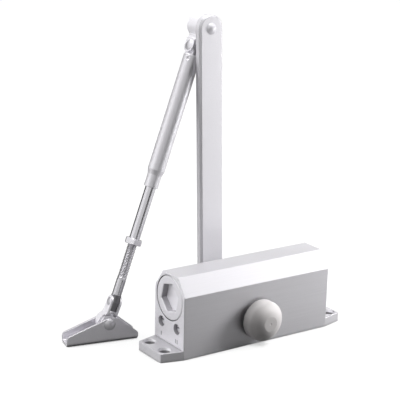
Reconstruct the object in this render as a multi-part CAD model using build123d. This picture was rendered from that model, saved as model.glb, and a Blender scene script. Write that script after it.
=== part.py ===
from build123d import *

import math
import os

# Hydraulic door closer with a regular arm, standing on its mounting face as it does on a bench.
# Origin: the middle of the four mounting holes on the mounting face. X runs along the body,
# Y along the spindle (the arm is on the +Y side), Z away from the door leaf. Millimetres.

# Body casting
body_length = 145.4
body_width = 42.8
body_height = 66.0
shoulder_height = 51.8
shoulder_inset = 10.6
body_edge_radius = 0.7
foot_length = 18.3
foot_thickness = 7.5
foot_taper = 4.9
foot_corner_radius = 1.6
foot_edge_radius = 0.5

# Mounting holes in the feet, countersunk for 5.5 mm screws
screw_row_length = 167.0
screw_row_width = 22.0
screw_hole_radius = 2.9
countersink_radius = 5.6
countersink_depth = 3.4

# Cylinder bore, its two end plugs and their seals
bore_height = 46.0
bore_radius = 17.0
plug_thread_radius = 18.0
plug_depth = 13.0
plug_rim_radius = 18.8
plug_rim_depth = 2.0
plug_face_radius = 18.2
plug_face_chamfer = 0.5
hex_across_flats = 22.0
hex_depth = 5.5
hex_turn = 15.0
hex_mouth_chamfer = 0.5
oring_section = 2.0
oring_from_inner_end = 3.4
spring_pocket_radius = 11.9
plug_pocket_depth = 5.0

# Spindle, its pinion and the two ball bearings
spindle_height = 22.0
pinion_module = 2.0
pinion_teeth = 10
pressure_angle = 25.0
rack_addendum = 1.6
pinion_addendum = 1.5
tooth_root_clearance = 0.25
tooth_backlash = 0.4
pinion_width = 16.0
chamber_radius = 12.0
spindle_shoulder_radius = 8.0
bearing_bore_radius = 7.5
bearing_width = 5.0
bearing_inset = 4.0
ball_radius = 1.5
ball_count = 12
race_wall = 1.5
seal_journal_radius = 7.0
journal_stand_out = 0.8
square_across_flats = 10.0
square_corner_radius = 6.6
square_front_length = 11.0
gland_radius = 13.5
gland_spanner_radius = 1.2
gland_spanner_circle = 11.8
gland_spanner_depth = 2.0
seal_radius = 10.0
seal_width = 2.0
shaft_gap = 0.04
seat_gap = 0.02

# Piston with its rack, and the check valve in its head
piston_gap = 0.04
piston_head_length = 9.0
piston_end_gap = 2.7
piston_tail_length = 7.0
piston_pocket_depth = 8.0
spindle_turn_range = 180.0
check_ball_radius = 2.5
check_bore_radius = 2.8
check_port_radius = 1.6
check_ball_room = 5.6
check_bush_length = 3.0

# Closing spring
spring_wire_radius = 1.8
spring_mean_radius = 9.7
spring_turns = 6.5
spring_end_gap = 0.1

# Two speed valves in the end face below the plug
valve_height = 23.0
valve_spread = 22.2
valve_mouth_radius = 4.35
valve_mouth_depth = 3.0
valve_bore_radius = 3.5
valve_bore_depth = 18.0
valve_screw_length = 10.5
valve_tip_length = 4.0
valve_tip_radius = 1.2
valve_slot_width = 1.2
valve_slot_depth = 1.6
valve_oring_section = 1.4
valve_oring_from_tip = 2.2
gallery_radius = 1.5
feed_port_offset = 14.0
mark_height = 12.6
mark_length = 3.4
mark_width = 0.7
mark_pitch = 2.2
mark_depth = 0.3

# Cap over the unused front end of the spindle
cap_stand_off = 3.0
cap_radius = 16.8
cap_rim_length = 6.0
cap_depth = 14.6
cap_nose_radius = 6.2
cap_brow_radius = 15.0
cap_brow_depth = 9.4
cap_cheek_radius = 10.9
cap_cheek_depth = 12.7
cap_dimple_radius = 2.4
cap_dimple_depth = 0.3
cap_wall = 2.0
cap_hub_radius = 9.0
cap_hub_gap = 1.2
socket_gap = 0.05

# Main arm: a bar joggled clear of the body, with a pad on the spindle's rear square
arm_length = 228.7
arm_lean = 2.0
arm_width = 22.8
arm_thickness = 6.0
arm_bevel = 1.5
arm_pad_radius = 14.0
arm_pad_gap = 3.6
arm_joggle = 18.6
joggle_start = 11.5
joggle_rise = 12.0
joggle_bend_radius = 6.0
arm_screw_radius = 3.0
arm_screw_length = 15.0
arm_screw_head_radius = 6.0
arm_screw_head_height = 4.0
arm_screw_socket = 5.0
arm_washer_radius = 8.0
arm_washer_thickness = 1.6

# Elbow: rivet, washer and cast knuckle
elbow_rivet_radius = 4.0
rivet_head_radius = 4.8
rivet_head_height = 2.3
elbow_washer_thickness = 0.6
elbow_barrel_radius = 9.0
elbow_barrel_length = 16.0
elbow_reach = 17.7
elbow_ear_width = 12.0
elbow_lug_offset = -1.0
elbow_fork_gap = 8.3
elbow_ear_thickness = 2.45
elbow_fork_floor = 11.0
neck_scoop_radius = 4.5
neck_scoop_depth = 1.6
neck_scoop_height = 8.6
cross_pin_radius = 2.5
elbow_pin_head_radius = 4.5
elbow_pin_head_height = 1.3

# Forearm: head, tube drawn down at its lower end, spacer sleeve, lock nut and adjusting rod
tongue_thickness = 8.0
tongue_radius = 5.8
head_shoulder = 7.0
head_radius = 7.1
head_collar_length = 1.2
head_spigot_length = 17.0
tube_radius = 7.1
tube_wall = 1.5
stake_radius = 2.4
stake_depth = 0.6
stake_offset = 2.6
stake_angle = -32.0
stake_count = 3
tube_length = 111.4
drawn_radius = 5.9
drawn_length = 10.5
drawn_cone_length = 4.0
drawn_bore_radius = 4.05
sleeve_radius = 4.4
sleeve_length = 44.0
nut_across_flats = 13.0
nut_thickness = 5.0
rod_radius = 3.95
rod_in_tube = 26.0
rod_eye_thickness = 5.8
rod_eye_length = 5.6
rod_eye_reach = 7.8
rod_eye_tip = 1.6

# Shoe: knuckle, rivet and the folded bracket that screws to the frame
shoe_pivot_x = -101.0
shoe_pivot_y = 49.6
shoe_yaw = -11.5
shoe_width = 14.5
shoe_sheet = 2.0
shoe_bend_radius = 3.0
shoe_left = 36.3
shoe_right = 24.7
shoe_left_height = 7.7
shoe_right_height = 5.6
shoe_peak_height = 20.3
shoe_peak_left = 0.9
shoe_peak_right = 6.8
shoe_peak_fillet = 5.0
shoe_end_fillet = 3.0
shoe_pivot_height = 15.0
shoe_rivet_radius = 3.0
shoe_rivet_head_radius = 4.9
shoe_rivet_head_height = 2.2
shoe_barrel_radius = 8.5
shoe_reach = 17.5
shoe_ear_width = 10.0
shoe_ear_thickness = 1.6
shoe_fork_gap = 6.1
shoe_fork_floor = 8.2
shoe_neck_fillet = 6.5
shoe_side_gap = 0.2
shoe_boss_radius = 7.0
shoe_boss_length = 2.0
shoe_pin_head_radius = 3.6
shoe_pin_head_height = 1.2
shoe_hole_radius = 2.6
shoe_hole_left = 26.0
shoe_hole_right = 17.0

base = (Align.CENTER, Align.CENTER, Align.MIN)
half_body = body_length / 2
half_width = body_width / 2
plug_inner_x = half_body - plug_depth
pitch_radius = pinion_module * pinion_teeth / 2
rack_pitch = math.pi * pinion_module
pinion_turn = math.radians(spindle_turn_range)
joggle_angle = math.atan2(arm_joggle, joggle_rise)
stroke = pitch_radius * pinion_turn
bearing_outer_y = half_width - bearing_inset
bearing_inner_y = bearing_outer_y - bearing_width
arm_pad_y = half_width + arm_pad_gap
arm_bar_y = arm_pad_y + arm_joggle
running_radius = cross_pin_radius + 0.07


def disc_y(radius, low, high, x=0.0, z=0.0):
    """Round bar along Y from low to high."""
    return Pos(x, low, z) * Rot(-90, 0, 0) * Cylinder(radius, high - low, align=base)


def disc_x(radius, low, high, y=0.0, z=0.0):
    """Round bar along X from low to high."""
    return Pos(low, y, z) * Rot(0, 90, 0) * Cylinder(radius, high - low, align=base)


def disc_z(radius, low, high):
    """Round bar along Z from low to high."""
    return Pos(0, 0, low) * Cylinder(radius, high - low, align=base)


def box_between(low, high):
    """Box between two opposite corners."""
    size = [b - a for a, b in zip(low, high)]
    middle = [(a + b) / 2 for a, b in zip(low, high)]
    return Pos(*middle) * Box(*size)


def turned(points):
    """Solid of revolution about Z from a closed outline of (radius, height) points."""
    outline = make_face(Polyline(*[(r, 0, z) for r, z in points], close=True))
    return revolve(outline, Axis.Z)


def dome(radius, height):
    """Low rivet head on Z = 0, a cap of a sphere."""
    sphere_radius = (radius**2 + height**2) / (2 * height)
    ball = Pos(0, 0, height - sphere_radius) * Sphere(sphere_radius)
    return ball & disc_z(radius, 0, height)


def washer_y(outer, inner, low, high, x=0.0, z=0.0):
    """Flat ring along Y."""
    return disc_y(outer, low, high, x, z) - disc_y(inner, low - 1, high + 1, x, z)


def write(name, shape):
    """Save one piece under its node name."""
    shape.label = name
    export_step(shape, f"parts/{name}.step")


def foot(side):
    """One mounting foot, wide at the body and narrower at its tip."""
    root = half_body - 1.0
    tip = half_body + foot_length
    half_tip = half_width - foot_taper
    plan = Polyline((root, -half_width), (tip, -half_tip), (tip, half_tip), (root, half_width), close=True)
    plate = extrude(make_face(plan), foot_thickness)
    tip_corners = plate.edges().filter_by(Axis.Z).group_by(Axis.X)[-1]
    plate = fillet(tip_corners, foot_corner_radius)
    top_rim = plate.faces().sort_by(Axis.Z)[-1].edges().filter_by_position(Axis.X, root + 1.5, tip + 1)
    plate = fillet(top_rim, foot_edge_radius)
    for y in (-screw_row_width / 2, screw_row_width / 2):
        here = Pos(screw_row_length / 2, y, 0)
        plate -= here * disc_z(screw_hole_radius, -1, foot_thickness + 1)
        cone = Cone(screw_hole_radius, countersink_radius, countersink_depth, align=base)
        plate -= here * Pos(0, 0, foot_thickness - countersink_depth) * cone
    return plate if side > 0 else mirror(plate, Plane.YZ)


def body_prism():
    """Body of the casting: a box with its two top corners cut back to a narrow top."""
    half_top = half_width - shoulder_inset
    section = Polyline(
        (-half_width, 0),
        (half_width, 0),
        (half_width, shoulder_height),
        (half_top, body_height),
        (-half_top, body_height),
        (-half_width, shoulder_height),
        close=True,
    )
    prism = extrude(Plane.YZ * make_face(section), half_body, both=True)
    raised = prism.edges().filter_by_position(Axis.Z, foot_thickness, body_height + 1)
    return fillet(raised, body_edge_radius)


def valve_places():
    """Y of the rear valve and of the front valve."""
    return valve_spread / 2, -valve_spread / 2


def make_housing():
    """Casting with the cylinder, the pinion chamber, the valve bores and their oil ways."""
    shape = body_prism() + foot(1) + foot(-1)
    shape -= disc_x(bore_radius, -half_body - 1, half_body + 1, 0, bore_height)
    for side in (-1, 1):
        seat = sorted((side * plug_inner_x, side * (half_body + 1)))
        shape -= disc_x(plug_thread_radius, seat[0], seat[1], 0, bore_height)
        rim = sorted((side * (half_body - plug_rim_depth), side * (half_body + 1)))
        shape -= disc_x(plug_rim_radius, rim[0], rim[1], 0, bore_height)
        gland = sorted((side * bearing_outer_y, side * (half_width + 1)))
        shape -= disc_y(gland_radius, gland[0], gland[1], 0, spindle_height)
    shape -= disc_y(chamber_radius, -half_width - 1, half_width + 1, 0, spindle_height)
    for y in valve_places():
        face = -half_body
        shape -= disc_x(valve_mouth_radius, face - 1, face + valve_mouth_depth, y, valve_height)
        shape -= disc_x(valve_bore_radius, face, face + valve_bore_depth, y, valve_height)
        shape -= disc_x(gallery_radius, face + valve_bore_depth - 1, 0, y / 2, valve_height)
        link = Pos(face + valve_bore_depth - gallery_radius, 0, valve_height)
        shape -= link * box_between(
            (-gallery_radius, min(y, y / 2), -gallery_radius),
            (gallery_radius, max(y, y / 2), gallery_radius),
        )
        feed = Pos(face + feed_port_offset, y / 2, valve_height)
        shape -= feed * disc_z(gallery_radius, 0, bore_height - valve_height)
        side_way = Pos(face + feed_port_offset, 0, valve_height + valve_bore_radius / 2)
        shape -= side_way * box_between(
            (-gallery_radius, min(y, y / 2), -gallery_radius),
            (gallery_radius, max(y, y / 2), gallery_radius),
        )
    for y, strokes in zip(valve_places(), (1, 2)):
        for i in range(strokes):
            across = y + (i - (strokes - 1) / 2) * mark_pitch
            low = (-half_body - 1, across - mark_width / 2, mark_height - mark_length / 2)
            high = (-half_body + mark_depth, across + mark_width / 2, mark_height + mark_length / 2)
            shape -= box_between(low, high)
    return shape


def make_plug(pocket_depth):
    """Threaded end plug along +X, its face at 0 and its inner end at plug_depth."""
    rim = plug_rim_depth - seat_gap
    shape = turned(
        [
            (0, 0),
            (plug_face_radius - plug_face_chamfer, 0),
            (plug_face_radius, plug_face_chamfer),
            (plug_face_radius, rim),
            (plug_thread_radius - shaft_gap, rim),
            (plug_thread_radius - shaft_gap, plug_depth),
            (0, plug_depth),
        ]
    )
    hexagon = RegularPolygon(hex_across_flats / 2, 6, major_radius=False, rotation=hex_turn)
    shape -= extrude(hexagon, hex_depth)
    half_mouth = hex_across_flats / 2 + hex_mouth_chamfer
    mouth = RegularPolygon(half_mouth, 6, major_radius=False, rotation=hex_turn)
    shape -= extrude(mouth, hex_mouth_chamfer, taper=45)
    groove_middle = plug_depth - oring_from_inner_end
    half_groove = oring_section / 2 + seat_gap
    groove_floor = plug_thread_radius - oring_section - 2 * seat_gap
    groove = disc_z(bore_radius + 5, groove_middle - half_groove, groove_middle + half_groove)
    shape -= groove - disc_z(groove_floor, 0, plug_depth)
    if pocket_depth > 0:
        shape -= disc_z(spring_pocket_radius, plug_depth - pocket_depth, plug_depth + 1)
    return shape


def make_plug_oring():
    """Seal in the plug's groove, in the plug's own frame."""
    ring = Torus(plug_thread_radius - oring_section / 2 - seat_gap, oring_section / 2 - seat_gap)
    return Pos(0, 0, plug_depth - oring_from_inner_end) * ring


def place_plug(shape, side):
    """Put a piece from the plug's frame into one end of the body."""
    if side < 0:
        return Pos(-half_body, 0, bore_height) * Rot(0, 90, 0) * shape
    return Pos(half_body, 0, bore_height) * Rot(0, -90, 0) * shape


def involute(base_radius, roll):
    """Point of an involute of a circle at a roll angle, turned so that it starts on +X."""
    x = base_radius * (math.cos(roll) + roll * math.sin(roll))
    y = base_radius * (math.sin(roll) - roll * math.cos(roll))
    return x, y


def rotated(x, y, angle):
    """Point turned about the origin."""
    return x * math.cos(angle) - y * math.sin(angle), x * math.sin(angle) + y * math.cos(angle)


def pinion_outline():
    """Face of the pinion in its own plane, with a tooth gap pointing along +Y."""
    alpha = math.radians(pressure_angle)
    base_radius = pitch_radius * math.cos(alpha)
    root_radius = pitch_radius - rack_addendum - tooth_root_clearance
    tip_radius = pitch_radius + pinion_addendum
    half_tooth = (rack_pitch - tooth_backlash) / 4 / pitch_radius + math.tan(alpha) - alpha
    last_roll = math.sqrt((tip_radius / base_radius) ** 2 - 1)
    flank_steps = 8
    rolls = [last_roll * i / flank_steps for i in range(flank_steps + 1)]
    flank = [involute(base_radius, roll) for roll in rolls]
    gear = Circle(root_radius).face()
    for k in range(pinion_teeth):
        middle = math.radians(90) + 2 * math.pi * (k + 0.5) / pinion_teeth
        start = middle - half_tooth
        end = middle + half_tooth
        left = [rotated(x, y, start) for x, y in flank]
        right = [rotated(x, -y, end) for x, y in flank]
        inner = root_radius - 1.0
        foot_left = (inner * math.cos(start), inner * math.sin(start))
        foot_right = (inner * math.cos(end), inner * math.sin(end))
        tooth = make_face(Polyline(foot_left, *left, *reversed(right), foot_right, close=True))
        gear = gear + tooth
    return gear


def square_end(low, high):
    """Square drive with rounded corners along Y."""
    half = square_across_flats / 2
    bar = box_between((-half, low, -half), (half, high, half))
    return bar & disc_y(square_corner_radius, low, high)


def make_spindle():
    """Pinion shaft with bearing seats, seal journals and a square at both ends."""
    gear = extrude(Plane.XZ * pinion_outline(), pinion_width / 2, both=True)
    shape = gear + disc_y(spindle_shoulder_radius, -bearing_inner_y, bearing_inner_y)
    shape += disc_y(bearing_bore_radius, -bearing_outer_y, bearing_outer_y)
    journal_end = half_width + journal_stand_out
    shape += disc_y(seal_journal_radius, -journal_end, journal_end)
    rear_end = arm_pad_y + arm_thickness
    shape += square_end(-journal_end - square_front_length, -journal_end)
    shape += square_end(journal_end, rear_end)
    shape -= disc_y(arm_screw_radius, rear_end - arm_screw_length, rear_end + 1)
    return Pos(0, 0, spindle_height) * shape


def bearing_rings(side):
    """Inner ring, outer ring and balls of one spindle bearing."""
    low, high = sorted((side * (bearing_inner_y + seat_gap), side * bearing_outer_y))
    middle = (low + high) / 2
    outer_radius = chamber_radius - seat_gap
    track = (bearing_bore_radius + outer_radius) / 2
    race = Pos(0, middle, 0) * Rot(-90, 0, 0) * Torus(track, ball_radius + seat_gap)
    inner = washer_y(bearing_bore_radius + race_wall, bearing_bore_radius + seat_gap, low, high) - race
    outer = washer_y(outer_radius, outer_radius - race_wall, low, high) - race
    balls = []
    for k in range(ball_count):
        angle = 2 * math.pi * k / ball_count
        balls.append(Pos(track * math.cos(angle), middle, track * math.sin(angle)) * Sphere(ball_radius))
    seat = Pos(0, 0, spindle_height)
    return seat * inner, seat * outer, Compound(children=[seat * ball for ball in balls])


def make_gland(side):
    """Threaded ring that holds the bearing and carries the lip seal."""
    low = bearing_outer_y + seat_gap
    shape = washer_y(gland_radius - shaft_gap, seal_journal_radius + 0.3, low, half_width)
    shape -= disc_y(seal_radius, low - 1, low + seal_width + seat_gap)
    for k in range(2):
        x = gland_spanner_circle * (1 - 2 * k)
        shape -= disc_y(gland_spanner_radius, half_width - gland_spanner_depth, half_width + 1, x)
    if side < 0:
        shape = mirror(shape, Plane.XZ)
    return Pos(0, 0, spindle_height) * shape


def make_seal(side):
    """Lip seal on the spindle's journal, inside the gland."""
    low = bearing_outer_y + 2 * seat_gap
    shape = washer_y(seal_radius - seat_gap, seal_journal_radius + seat_gap, low, low + seal_width - seat_gap)
    if side < 0:
        shape = mirror(shape, Plane.XZ)
    return Pos(0, 0, spindle_height) * shape


def piston_ends():
    """Left and right end of the piston at rest."""
    left = -plug_inner_x + piston_end_gap
    right = rack_pitch + piston_tail_length
    return left, right


def make_piston():
    """Piston with a rack on its underside, a spring pocket and a check valve bore."""
    left, right = piston_ends()
    radius = bore_radius - piston_gap
    shape = disc_x(radius, left, right)
    pitch_line = -(bore_height - spindle_height - pitch_radius)
    tip_line = pitch_line - rack_addendum
    root_line = pitch_line + pinion_addendum + tooth_root_clearance
    flat_left = left + piston_head_length
    flat_right = rack_pitch * 1.5
    shape -= box_between((flat_left, -bore_radius, -bore_radius - 1), (flat_right, bore_radius, tip_line))
    slope = math.tan(math.radians(pressure_angle))
    half_gap = (rack_pitch + tooth_backlash) / 4
    wide = half_gap + slope * (pitch_line - tip_line)
    narrow = half_gap - slope * (root_line - pitch_line)
    gap_count = int((flat_right - flat_left) / rack_pitch)
    for k in range(gap_count):
        x = flat_right - (k + 1) * rack_pitch
        if x - wide < flat_left:
            break
        gap = Polyline(
            (x - wide, tip_line - rack_addendum),
            (x + wide, tip_line - rack_addendum),
            (x + wide, tip_line),
            (x + narrow, root_line),
            (x - narrow, root_line),
            (x - wide, tip_line),
            close=True,
        )
        shape -= extrude(Plane.XZ * make_face(gap), bore_radius, both=True)
    shape -= disc_x(spring_pocket_radius, right - piston_pocket_depth, right + 1)
    bush_seat = check_bush_length + check_ball_room
    shape -= disc_x(check_bore_radius, left - 1, left + bush_seat)
    shape -= disc_x(check_port_radius, left, right)
    return Pos(0, 0, bore_height) * shape


def make_check_valve():
    """Ball that lets oil back through the piston, and the bush that traps it."""
    left = piston_ends()[0]
    seat = Pos(0, 0, bore_height)
    ball_x = left + check_bush_length + check_ball_room / 2
    ball = seat * Pos(ball_x, 0, 0) * Sphere(check_ball_radius)
    bush = disc_x(check_bore_radius - seat_gap, left, left + check_bush_length)
    bush -= disc_x(check_port_radius, left - 1, left + check_bush_length + 1)
    return ball, seat * bush


def make_spring():
    """Closing spring between the piston's pocket and the pocket of the right plug."""
    low = piston_ends()[1] - piston_pocket_depth + spring_end_gap + spring_wire_radius
    high = plug_inner_x + plug_pocket_depth - spring_end_gap - spring_wire_radius
    height = high - low
    coil = Helix(height / spring_turns, height, spring_mean_radius)
    profile = Plane(origin=coil @ 0, z_dir=coil % 0) * Circle(spring_wire_radius)
    wire = sweep(profile, path=coil)
    return Pos(low, 0, bore_height) * Rot(0, 90, 0) * wire


def make_valve(y):
    """Needle valve screw with a screwdriver slot, and its seal."""
    head = -half_body + valve_mouth_depth
    end = head + valve_screw_length
    radius = valve_bore_radius - shaft_gap
    screw = disc_x(radius, head, end)
    screw += disc_x(valve_tip_radius, end, end + valve_tip_length)
    slot_half = valve_slot_width / 2
    screw -= box_between((head - 1, -radius, -slot_half), (head + valve_slot_depth, radius, slot_half))
    middle = end - valve_oring_from_tip
    half_groove = valve_oring_section / 2 + seat_gap
    floor = valve_bore_radius - valve_oring_section - 2 * seat_gap
    groove = disc_x(valve_mouth_radius, middle - half_groove, middle + half_groove)
    screw -= groove - disc_x(floor, head, end)
    ring = Torus(valve_bore_radius - valve_oring_section / 2 - seat_gap, valve_oring_section / 2 - seat_gap)
    ring = Pos(middle, 0, 0) * Rot(0, 90, 0) * ring
    seat = Pos(0, y, valve_height)
    return seat * screw, seat * ring


def make_cap():
    """Plastic cap: a straight rim, a dome down to a flat nose, and a hub on the spindle's square."""
    inner = cap_radius - cap_wall
    hub_back = -(cap_stand_off - cap_hub_gap)
    outside = Polyline((cap_radius, 0), (cap_radius, cap_rim_length))
    dome_line = Spline(
        [
            (cap_radius, cap_rim_length),
            (cap_brow_radius, cap_brow_depth),
            (cap_cheek_radius, cap_cheek_depth),
            (cap_nose_radius, cap_depth),
        ],
        tangents=[(0, 1), (-1, 0.3)],
    )
    closing = Polyline(
        (cap_nose_radius, cap_depth),
        (0, cap_depth),
        (0, hub_back),
        (cap_hub_radius, hub_back),
        (cap_hub_radius, cap_rim_length + cap_wall),
        (inner - cap_wall, cap_rim_length + cap_wall),
        (inner, cap_rim_length),
        (inner, 0),
        (cap_radius, 0),
    )
    face = Plane.XZ * make_face([*outside.edges(), *dome_line.edges(), *closing.edges()])
    shape = revolve(face, Axis.Z)
    half = square_across_flats / 2 + socket_gap
    socket_end = journal_stand_out + square_front_length - cap_stand_off + socket_gap
    shape -= box_between((-half, -half, hub_back - 1), (half, half, socket_end))
    shape -= Pos(0, 0, cap_depth + cap_dimple_radius - cap_dimple_depth) * Sphere(cap_dimple_radius)
    place = Pos(0, -half_width - cap_stand_off, spindle_height)
    return place * Rot(90, 0, 0) * shape


def on_arm(shape):
    """From the arm's own frame, spindle at the origin and the bar up along Z, to its place at rest."""
    return Pos(0, 0, spindle_height) * Rot(0, -arm_lean, 0) * shape


def make_arm():
    """Main arm: pad, joggle and bevelled bar with a round top."""
    half = arm_width / 2
    mid_pad = arm_pad_y + arm_thickness / 2
    mid_bar = arm_bar_y + arm_thickness / 2
    top = arm_length + half + 1
    line = FilletPolyline(
        (mid_pad, -arm_pad_radius - 4),
        (mid_pad, joggle_start),
        (mid_bar, joggle_start + joggle_rise),
        (mid_bar, top),
        radius=joggle_bend_radius,
    )
    band = make_face(offset(line, arm_thickness / 2, side=Side.BOTH))
    strip = extrude(Plane.YZ * band, arm_pad_radius + 1, both=True)
    bar_start = joggle_start + joggle_rise + joggle_bend_radius * math.tan(joggle_angle / 2)
    bar = Pos(0, (bar_start + arm_length) / 2) * Rectangle(arm_width, arm_length - bar_start)
    bar = bar + Pos(0, arm_length) * Circle(half)
    low_bar = Pos(0, bar_start / 2) * Rectangle(arm_width, bar_start + 1)
    plan = low_bar + Circle(arm_pad_radius)
    front = Plane(origin=(0, 0, 0), x_dir=(1, 0, 0), z_dir=(0, -1, 0))
    shape = strip & extrude(front * plan, 2 * arm_bar_y, both=True)
    flat_front = Plane(origin=(0, arm_bar_y + arm_bevel, 0), x_dir=(1, 0, 0), z_dir=(0, -1, 0))
    shape += extrude(flat_front * bar, arm_bevel, taper=45)
    shape += extrude(flat_front * bar, arm_bevel - arm_thickness)
    bar_back = arm_bar_y + arm_thickness
    shape -= disc_y(elbow_rivet_radius + shaft_gap, arm_bar_y - 1, bar_back + 1, 0, arm_length)
    hole = square_across_flats / 2 + socket_gap
    square = box_between((-hole, arm_pad_y - 1, -hole), (hole, arm_pad_y + arm_thickness + 1, hole))
    square = square & disc_y(square_corner_radius + socket_gap, arm_pad_y - 1, arm_pad_y + arm_thickness + 1)
    return on_arm(shape - Rot(0, arm_lean, 0) * square)


def make_arm_fixing():
    """Washer and socket screw that hold the arm on the spindle."""
    face = arm_pad_y + arm_thickness
    top = face + arm_washer_thickness
    washer = washer_y(arm_washer_radius, arm_screw_radius + 0.2, face + seat_gap, top)
    screw = disc_y(arm_screw_radius - shaft_gap, face - arm_screw_length + 2, top)
    screw += disc_y(arm_screw_head_radius, top, top + arm_screw_head_height)
    socket = RegularPolygon(arm_screw_socket / 2, 6, major_radius=False)
    back = Plane(origin=(0, top + arm_screw_head_height, 0), x_dir=(1, 0, 0), z_dir=(0, -1, 0))
    screw -= extrude(back * socket, arm_screw_head_height / 2)
    place = Pos(0, 0, spindle_height)
    return place * washer, place * screw


def make_elbow_rivet():
    """Rivet through the arm and the knuckle, with a domed head in front and a peened one behind."""
    tail = arm_bar_y + arm_thickness + elbow_washer_thickness + elbow_barrel_length + shaft_gap
    shank = disc_y(elbow_rivet_radius, arm_bar_y - 0.5, tail, 0, arm_length)
    front = Pos(0, arm_bar_y, arm_length) * Rot(90, 0, 0) * dome(rivet_head_radius, rivet_head_height)
    rear = Pos(0, tail, arm_length) * Rot(-90, 0, 0) * dome(rivet_head_radius, rivet_head_height / 2)
    return on_arm(shank + front + rear)


def make_elbow_washer():
    """Thin washer between arm and knuckle."""
    low = arm_bar_y + arm_thickness
    high = low + elbow_washer_thickness - seat_gap
    ring = washer_y(elbow_barrel_radius, elbow_rivet_radius + shaft_gap, low, high, 0, arm_length)
    return on_arm(ring)


def along_y(face, low, high):
    """Extrude a face drawn in X and Z from low to high along Y."""
    back = Plane(origin=(0, high, 0), x_dir=(1, 0, 0), z_dir=(0, -1, 0))
    return extrude(back * face, high - low)


def ear_blank(half_block, half_ear, offset, reach):
    """Block of a fork along Z with its end rounded about the cross pin."""
    blank = box_between((-half_block, offset - half_ear, 0), (half_block, offset + half_ear, reach))
    return blank + disc_x(half_ear, -half_block, half_block, offset, reach)


def cut_fork(shape, half_fork, floor, offset, reach):
    """Cut the slot between the ears, from its floor out, and the hole for the cross pin."""
    far = 4 * reach
    shape -= box_between((-half_fork, -far, floor), (half_fork, far, far))
    return shape - disc_x(cross_pin_radius + seat_gap, -far, far, offset, reach)


def make_elbow_knuckle():
    """Cast knuckle: a barrel along Y and a scooped neck with two ears along Z."""
    half_fork = elbow_fork_gap / 2
    half_block = half_fork + elbow_ear_thickness
    half_barrel = elbow_barrel_length / 2
    lug = ear_blank(half_block, elbow_ear_width / 2, elbow_lug_offset, elbow_reach)
    for side in (-1, 1):
        middle = side * (half_block + neck_scoop_radius - neck_scoop_depth)
        lug -= disc_y(neck_scoop_radius, -elbow_reach, elbow_reach, middle, neck_scoop_height)
    barrel = disc_y(elbow_barrel_radius, -half_barrel, half_barrel)
    barrel = chamfer(barrel.edges().filter_by(GeomType.CIRCLE), 0.6)
    shape = cut_fork(barrel + lug, half_fork, elbow_fork_floor, elbow_lug_offset, elbow_reach)
    return shape - disc_y(elbow_rivet_radius + shaft_gap, -elbow_barrel_length, elbow_barrel_length)


def make_shoe_knuckle():
    """Cast knuckle: a barrel along Y, a front boss in a groove, and a fork that flares into it."""
    half_fork = shoe_fork_gap / 2
    half_block = half_fork + shoe_ear_thickness
    half_barrel = shoe_width / 2 - shoe_sheet - shoe_side_gap
    front = shoe_boss_length - half_barrel
    side_view = Circle(shoe_barrel_radius) + Pos(0, shoe_reach / 2) * Rectangle(2 * half_block, shoe_reach)
    corners = side_view.vertices().filter_by_position(Axis.Y, 1, shoe_barrel_radius)
    flared = fillet(corners, shoe_neck_fillet)
    barrel = along_y(Circle(shoe_barrel_radius).face(), front, half_barrel)
    half_ear = shoe_ear_width / 2
    blank = ear_blank(shoe_barrel_radius, half_ear, 0, shoe_reach)
    lug = along_y(flared, -half_ear, half_ear) & blank
    ears = ear_blank(half_block, half_ear, 0, shoe_reach)
    shape = barrel + lug + ears
    clear = shoe_barrel_radius + 1
    below_fork = box_between((-clear, -half_barrel, -clear), (clear, front, half_fork))
    shape -= below_fork & disc_y(clear, -half_barrel, front)
    shape += disc_y(shoe_boss_radius, -half_barrel, front)
    shape -= washer_y(shoe_barrel_radius, shoe_boss_radius, -half_barrel, front)
    shape = cut_fork(shape, half_fork, shoe_fork_floor, 0, shoe_reach)
    return shape - disc_y(shoe_rivet_radius + shaft_gap, -shoe_width, shoe_width)


def make_cross_pin(half_block, reach, lug_offset, head_radius, head_height):
    """Pin through a fork, with a low domed head on each ear, in the knuckle's frame."""
    half = half_block + seat_gap
    shape = disc_x(cross_pin_radius, -half, half)
    head = dome(head_radius, head_height)
    shape += Pos(half, 0, 0) * Rot(0, 90, 0) * head
    shape += Pos(-half, 0, 0) * Rot(0, -90, 0) * head
    return Pos(0, lug_offset, reach) * shape


def make_forearm_head():
    """Head of the forearm: a tongue on the cross pin, a collar and a spigot, along Z from the pin."""
    half = tongue_thickness / 2
    tongue = box_between((-half, -tongue_radius, 0), (half, tongue_radius, head_shoulder + 1))
    tongue += disc_x(tongue_radius, -half, half)
    collar_end = head_shoulder + head_collar_length
    collar = disc_z(head_radius, head_shoulder, collar_end)
    collar = chamfer(collar.edges().filter_by(GeomType.CIRCLE).sort_by(Axis.Z)[0], 0.6)
    spigot = disc_z(tube_radius - tube_wall - seat_gap, collar_end, collar_end + head_spigot_length)
    shape = tongue + collar + spigot
    return shape - disc_x(running_radius, -half - 1, half + 1)


def tube_start():
    """Distance from the elbow's cross pin to the tube's upper end."""
    return head_shoulder + head_collar_length


def tube_end():
    """Distance from the elbow's cross pin to the tube's drawn lower end."""
    return tube_start() + tube_length


def make_forearm_tube():
    """Tube staked to its head by punch marks, and drawn down at its lower end."""
    top = tube_start() + seat_gap
    end = tube_end()
    drawn = end - drawn_length
    cone = drawn - drawn_cone_length
    tube = turned(
        [
            (tube_radius, top),
            (tube_radius, cone),
            (drawn_radius, drawn),
            (drawn_radius, end),
            (drawn_bore_radius, end),
            (drawn_bore_radius, drawn),
            (tube_radius - tube_wall, cone),
            (tube_radius - tube_wall, top),
        ]
    )
    far = tube_radius + stake_radius - stake_depth
    for k in range(stake_count):
        angle = math.radians(stake_angle + 360 * k / stake_count)
        place = Pos(far * math.cos(angle), far * math.sin(angle), top + stake_offset)
        tube -= place * Sphere(stake_radius)
    return tube


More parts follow.
